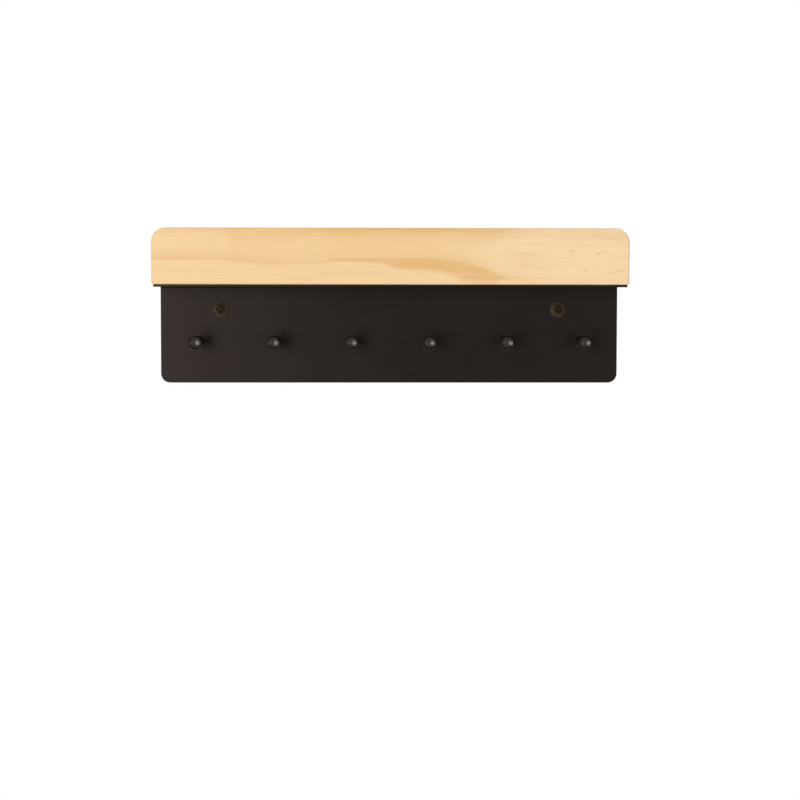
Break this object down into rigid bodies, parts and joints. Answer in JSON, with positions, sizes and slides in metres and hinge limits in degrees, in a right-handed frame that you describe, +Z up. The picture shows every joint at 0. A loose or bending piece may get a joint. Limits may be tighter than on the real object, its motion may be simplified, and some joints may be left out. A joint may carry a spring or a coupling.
{
  "type": "wall key holder",
  "caption": "Wall key holder: a folded black steel sheet makes the wall plate and a narrow shelf with a pine rail on its front edge, and turned steel pegs stand in the plate.",
  "frame": {"origin": "on the plate's back face, which lies on the wall, midway between the two wall screws", "axes": "+Z up, +X to the right as seen from the room, +Y into the wall, so the front faces -Y"},
  "size_m": [0.3, 0.074, 0.0995],
  "materials": {
    "powder_coated_steel": "fine matte powder coat, warm black",
    "pine": "fine sanded pale pine with a thin matte lacquer",
    "black_peg": "semi-gloss black",
    "bronze_screw": "dark bronze plating",
    "black_screw": "black zinc plating"
  },
  "bodies": {
    "root": {"steel_bracket": "powder_coated_steel", "wood_rail": "pine", "peg_1": "black_peg", "peg_2": "black_peg", "peg_3": "black_peg", "peg_4": "black_peg", "peg_5": "black_peg", "peg_6": "black_peg", "wall_screws": "bronze_screw", "rail_screws": "black_screw"}
  },
  "joints": []
}
